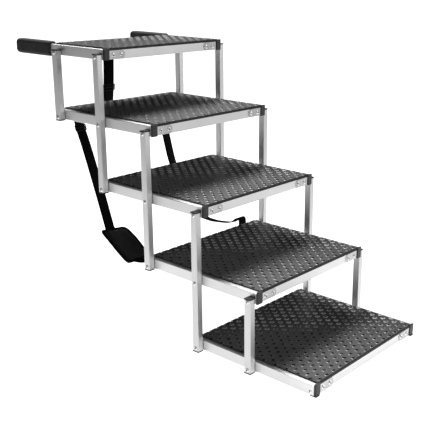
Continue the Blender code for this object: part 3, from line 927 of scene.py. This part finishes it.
def shoulder_straps():
    """Two carrying straps, each through a slider and a padded sleeve, from tread 2 to tread 4."""
    body = "tread_4"
    for side, route in (("left", LEFT_ROUTE), ("right", RIGHT_ROUTE)):
        way = SIDES[side]
        strap = Strap(route, way * SHOULDER_X, way)
        web = webbing_piece(f"webbing_{side}", strap, SHOULDER_WIDTH, body, f"shoulder_strap_{side}")
        glide = slider(f"glide_{side}", strap, SHOULDER_SLIDER_AT, SHOULDER_WIDTH, body,
                       f"strap_slider_{side}")
        form = PadForm(strap, PAD_START[side])
        cushion = pad(f"carry_pad_{side}", form, body, f"shoulder_pad_{side}")
        binding = pad_binding(f"pad_binding_{side}", form, body)
        bm = bmesh.new()
        pad_stitches(bm, form)
        bar_tacks(bm, strap, (4 * MM, 14 * MM, strap.length - 5 * MM), 11 * MM)
        face_out(bm)
        stitches = piece(f"stitches_{side}", bm, THREAD, body, (), 60, True)
        pieces = [glide, cushion, binding, stitches]
        soften([web, *pieces], *SHOULDER_FOLD)


def closing_strap():
    """The wide strap that ties the folded steps together, hanging from the top tread's rear rail."""
    body = "tread_1"
    strap = Strap(CLOSING_ROUTE, CLOSING_X, -1)
    web = webbing_piece("closing_webbing", strap, CLOSING_WIDTH, body, "closing_strap")
    glide = slider("closing_glide", strap, CLOSING_SLIDER_AT, CLOSING_WIDTH, body, "closing_slider")
    bm = bmesh.new()
    bar_tacks(bm, strap, (5 * MM, 20 * MM, 31 * MM, strap.length - 6 * MM), 16 * MM)
    face_out(bm)
    stitches = piece("closing_stitches", bm, THREAD, body, (), 60, True)
    soften((web, glide, stitches), *CLOSING_FOLD)


# ---- treads


def bump_cell():
    """One embossed ring in the middle of its share of the sheet, as a mesh to be repeated."""
    bm = bmesh.new()
    half_x, half_y = BUMP_PITCH_X / 2, BUMP_PITCH_Y / 2
    border = [(half_x, -half_y), (half_x, half_y), (0, half_y), (-half_x, half_y),
              (-half_x, -half_y), (0, -half_y)]
    relief = bm.verts.layers.float.new("relief")
    rim = [bm.verts.new((x, y, 0)) for x, y in border]
    rings = []
    for radius, height, painted_mark in BUMP_RINGS:
        ring = []
        for step in range(BUMP_STEPS):
            angle = 2 * math.pi * (step + 0.5) / BUMP_STEPS
            x, y = radius * MM * math.cos(angle), radius * MM * math.sin(angle)
            vertex = bm.verts.new((x * BUMP_STRETCH, y, height * MM))
            # How much of a rim's painted highlight or a hollow's painted shade this ring takes
            vertex[relief] = painted_mark
            ring.append(vertex)
        rings.append(ring)
    edges = []
    for loop in (rim, rings[0]):
        edges += [bm.edges.new((a, b)) for a, b in zip(loop, loop[1:] + loop[:1])]
    bmesh.ops.triangle_fill(bm, edges=edges, use_beauty=True, normal=(0, 0, 1))
    for lower, upper in zip(rings, rings[1:]):
        bridge(bm, lower, upper)
    bm.faces.new(rings[-1])
    return as_mesh("bump_cell", bm)


def mark_painted_light(bm, length):
    """Marks how much painted light each point of a sheet takes, from none at its front left to full at
    its rear right corner: painted highlights on the bumps, painted shade on the flat.
    """
    toned = bm.verts.layers.float.new("toned")
    for vertex in bm.verts:
        across = vertex.co.x * PAINTED_LIGHT_WAY[0] + (vertex.co.y - length / 2) * PAINTED_LIGHT_WAY[1]
        share = min(max((across - PAINTED_LIGHT_START) / (PAINTED_LIGHT_END - PAINTED_LIGHT_START), 0.0), 1.0)
        vertex[toned] = share * share * (3 - 2 * share)


def embossed_sheet(cell, width, length, first_row):
    """A sheet with its top at z 0 and its front edge at y 0, cut from a larger run of cells."""
    bm = bmesh.new()
    columns = math.ceil(width / 2 / BUMP_PITCH_X) + 1
    for row in range(-1, math.ceil(length / BUMP_PITCH_Y) + 1):
        shift = BUMP_PITCH_X / 2 if row % 2 else 0
        for column in range(-columns, columns):
            before = len(bm.verts)
            bm.from_mesh(cell)
            bm.verts.ensure_lookup_table()
            place = (column * BUMP_PITCH_X + shift, first_row + row * BUMP_PITCH_Y, 0)
            bmesh.ops.translate(bm, verts=bm.verts[before:], vec=place)
    bmesh.ops.remove_doubles(bm, verts=bm.verts, dist=0.01 * MM)
    cuts = [((-width / 2, 0, 0), (-1, 0, 0)), ((width / 2, 0, 0), (1, 0, 0)),
            ((0, 0, 0), (0, -1, 0)), ((0, length, 0), (0, 1, 0))]
    for place, out in cuts:
        everything = bm.verts[:] + bm.edges[:] + bm.faces[:]
        bmesh.ops.bisect_plane(
            bm, geom=everything, plane_co=place, plane_no=out, clear_outer=True, dist=0.01 * MM
        )
    mark_painted_light(bm, length)
    rim = [edge for edge in bm.edges if edge.is_boundary]
    skirt = bmesh.ops.extrude_edge_only(bm, edges=rim)["geom"]
    for vertex in skirt:
        if isinstance(vertex, bmesh.types.BMVert):
            vertex.co.z = -PANEL_THICKNESS
    bmesh.ops.contextual_create(bm, geom=[edge for edge in bm.edges if edge.is_boundary])
    face_out(bm)
    return bm


def textured_panel(tread, sheets, cell):
    """The embossed sheet of one tread. sheets keeps those already made, by their length."""
    low, high = PANEL[tread]
    front = low.y + LIP_DEPTH
    length = round(high.y - front, 4)
    if length not in sheets:
        first_row = FRONT_RAIL[tread][0].y + BUMP_FIRST_ROW - front
        sheets[length] = embossed_sheet(cell, high.x - low.x, length, first_row)
    bm = sheets[length].copy()
    bmesh.ops.translate(bm, verts=bm.verts, vec=(0, front, high.z))
    piece(f"embossed_sheet_{tread}", bm, TREAD_PLASTIC[min(tread, 3) - 1], f"tread_{tread}",
          (f"panel_{tread}",), 40)


def panel_lip(tread):
    """The sheet's rounded front edge, turned down over the front rail."""
    low, high = PANEL[tread]
    top, nose = high.z, low.y
    face = FRONT_RAIL[tread][0].y - 0.3 * MM
    back = nose + LIP_DEPTH + 0.1 * MM
    under, drop, soft = top - PANEL_THICKNESS, low.z, 0.4 * MM
    profile = [(back, under), (back, top)]
    profile += arc(nose + LIP_ROUND, top - LIP_ROUND, LIP_ROUND, 1, 1, 5)
    profile += [(nose, drop + soft), (nose + soft, drop), (face, drop), (face, under)]
    bm = bmesh.new()
    add_prism(bm, [[Vector((x, y, z)) for y, z in profile[::-1]] for x in (-high.x, high.x)])
    face_out(bm)
    piece(f"sheet_lip_{tread}", bm, LIP_PLASTIC, f"tread_{tread}")


def connector_outline():
    """From above, with x running outwards and the corner's front face at y 0."""
    half, inner, small = WIDTH / 2, WIDTH / 2 - CONNECTOR_WIDTH, 0.6 * MM
    points = [(inner, CONNECTOR_DEPTH), (inner, small), (inner + small, 0),
              (half - CONNECTOR_ROUND - 0.2 * MM, 0)]
    points += arc(half - CONNECTOR_ROUND, CONNECTOR_ROUND, CONNECTOR_ROUND, -1, 1, 5)
    return points + [(half, CONNECTOR_DEPTH)]


def corner_connector(tread, side, end):
    """A moulded corner between two rails, at a tread's front or rear end."""
    way = SIDES[side]
    facing = 1 if end == "front" else -1
    base = FRONT_RAIL[tread][0].z
    if end == "front":
        place_y, top = FRONT_RAIL[tread][0].y - CONNECTOR_PROUD, RAIL_HEIGHT + CONNECTOR_ABOVE
    else:
        place_y, top = SIDE_RAIL[tread][1].y, RAIL_HEIGHT
    outline = connector_outline()
    soft = 0.7 * MM
    bm = bmesh.new()
    centre = Vector((WIDTH / 2 - CONNECTOR_WIDTH / 2, CONNECTOR_DEPTH))
    rings = []
    for z, inset in ((-CONNECTOR_BELOW, soft), (soft - CONNECTOR_BELOW, 0),
                     (top - soft, 0), (top, soft)):
        ring = []
        for x, y in outline:
            x += (centre.x - x) / (CONNECTOR_WIDTH / 2) * inset
            y += (centre.y - y) / CONNECTOR_DEPTH * inset
            ring.append(Vector((way * x, place_y + facing * y, base + z)))
        rings.append(ring)
    add_prism(bm, rings)
    if tread == TREADS and end == "front":
        foot = rounded_outline(RAIL_DEPTH - 0.6 * MM, FOOT_DEPTH, 2 * MM)
        middle = Vector((way * (WIDTH - RAIL_DEPTH) / 2, place_y + FOOT_PLACE, 0))
        rings = []
        for z, inset in ((0, 0.5 * MM), (0.5 * MM, 0), (FLOOR_GAP - 0.1 * MM, 0)):
            share = 1 - inset / RAIL_DEPTH * 2
            rings.append([middle + Vector((x * share, y * share, z)) for x, y in foot])
        add_prism(bm, rings)
    face_out(bm)
    replaced = (f"front_connector_{side}_{tread}",) if end == "front" else ()
    piece(f"corner_{end}_{side}_{tread}", bm, CONNECTOR_PLASTIC, f"tread_{tread}",
          replaced, 30)


def corner_plate(tread, side):
    """A stamped plate on the front rail, round at its inner end, and its two rivets."""
    way = SIDES[side]
    low = FRONT_RAIL[tread][0]
    outer, inner = (WIDTH / 2 - inward for inward in PLATE_SPAN)
    bottom, top = (low.z + up for up in PLATE_EDGES)
    radius = (top - bottom) / 2
    outline = [(outer, bottom), (outer, top)] + arc(inner + radius, bottom + radius, radius, 1, 2, 12)
    bm = bmesh.new()
    thick, soft = PLATE_THICKNESS, 0.25 * MM
    middle = Vector(((outer + inner) / 2, bottom + radius))
    rings = []
    for reach, inset in ((0.02 * MM, 0), (thick - soft, 0), (thick, soft)):
        ring = []
        for x, z in outline:
            pull = (middle - Vector((x, z))).normalized() * inset
            ring.append(Vector((way * (x + pull.x), low.y - reach, z + pull.y)))
        rings.append(ring)
    add_prism(bm, rings)
    face_out(bm)
    body = f"tread_{tread}"
    piece(f"corner_plate_{side}_{tread}", bm, PLATE_METAL, body, (), 30)
    heads = [((way * (WIDTH / 2 - inward), low.y - thick, low.z + PLATE_RIVET_HEIGHT), (0, -1, 0))
             for inward in PLATE_RIVETS]
    rivets(f"plate_rivets_{side}_{tread}", body, heads, PLATE_RIVET_RADIUS)


def tread_frame(tread):
    """A tread's rails, corners and plates, and the lowest one's screws in its unused holes."""
    body = f"tread_{tread}"
    middle_z = FRONT_RAIL[tread][0].z + RAIL_HEIGHT / 2
    for name, (low, high) in (("front", FRONT_RAIL[tread]), ("rear", REAR_RAIL[tread])):
        centre = Vector((0, (low.y + high.y) / 2, middle_z))
        rail(f"{name}_tube_{tread}", centre, high.y - low.y, RAIL_HEIGHT, low.x, high.x, "X",
             body, (f"{name}_rail_{tread}",))
    low, high = SIDE_RAIL[tread]
    rear = high.y if tread == 1 else high.y - CONNECTOR_DEPTH - 0.2 * MM
    for side, way in SIDES.items():
        centre = Vector((way * (low.x + high.x) / 2, 0, middle_z))
        rail(f"side_tube_{side}_{tread}", centre, RAIL_DEPTH, RAIL_HEIGHT, low.y - CONNECTOR_PROUD,
             rear, "Y", body, (f"side_rail_{side}_{tread}",))
        corner_connector(tread, side, "front")
        if tread > 1:
            corner_connector(tread, side, "rear")
        corner_plate(tread, side)
    if tread == TREADS:
        heads = [(pivot_place(tread, 0) + Vector((way * WIDTH / 2, 0, 0)), (way, 0, 0))
                 for way in SIDES.values()]
        rivets("foot_screws", body, heads, FOOT_SCREW)


# ---- legs and grips


def leg(name, side, joined):
    """A square tube with a black plug in each end and a dome rivet at each pivot."""
    way = SIDES[side]
    body = f"legs_{name}"
    spacing = math.hypot(RISE, RUN - PIVOT_PITCH)
    bottom, top = -LEG_BELOW, (len(joined) - 1) * spacing + LEG_ABOVE
    lowest = pivot_place(*joined[0]) + Vector((way * LEG_X, 0, 0))
    lean = Matrix.Translation(lowest) @ Matrix.Rotation(-LEAN, 4, "X")
    low, high = bottom + PLUG_LIP, top - PLUG_LIP
    bm = hollow_tube(LEG_WIDTH, LEG_DEPTH, LEG_ROUND, LEG_WALL, 0.9 * MM, low, high, "Z")
    bmesh.ops.transform(bm, matrix=lean, verts=bm.verts)
    piece(f"leg_tube_{name}_{side}", bm, LEG_METAL, body, (f"leg_{name}_{side}",))

    bm = bmesh.new()
    for end, out in ((bottom, -1), (top, 1)):
        rings = []
        for depth, inset in PLUG_RINGS[::out]:
            less = 2 * inset * MM
            outline = rounded_outline(LEG_WIDTH - less, LEG_DEPTH - less, 1.2 * MM)
            rings.append(lay(outline, end - out * depth, "Z"))
        add_prism(bm, rings)
    bmesh.ops.transform(bm, matrix=lean, verts=bm.verts)
    face_out(bm)
    piece(f"leg_plugs_{name}_{side}", bm, PLUG_PLASTIC, body, (), 40)

    heads = [(lean @ Vector((way * LEG_WIDTH / 2, 0, number * spacing)), (way, 0, 0))
             for number in range(len(joined))]
    rivets(f"leg_rivets_{name}_{side}", body, heads)


def grip(side):
    """A foam sleeve, a little fuller in its middle, with rolled ends."""
    low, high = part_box(f"grip_{side}")
    high.z += GRIP_CROWN
    centre = Vector(((low.x + high.x) / 2, low.y, (low.z + high.z) / 2))
    bm = bmesh.new()
    rings = []
    for reach, inset in GRIP_RINGS:
        inset *= MM
        width, height = high.x - low.x - 2 * inset, high.z - low.z - 2 * inset
        radius = min(GRIP_ROUND - inset * 0.35, 0.49 * width)
        rings.append(lay(rounded_outline(width, height, radius, 7), reach * MM, "Y"))
    add_prism(bm, rings)
    bmesh.ops.translate(bm, verts=bm.verts, vec=centre)
    sleeve = piece(f"foam_grip_{side}", bm, GRIP_FOAM, "tread_1", (f"grip_{side}",), 50)
    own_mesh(sleeve)


# ---- the whole


bpy.context.scene.view_settings.view_transform = "Standard"
make_camera()
closing_strap()
shoulder_straps()
make_studio()
bump, sheets = bump_cell(), {}
for tread in range(1, TREADS + 1):
    tread_frame(tread)
    textured_panel(tread, sheets, bump)
    panel_lip(tread)
for sheet in sheets.values():
    sheet.free()
bpy.data.meshes.remove(bump)
for name, pivots in LEGS.items():
    for side in SIDES:
        leg(name, side, pivots)
for side in SIDES:
    grip(side)
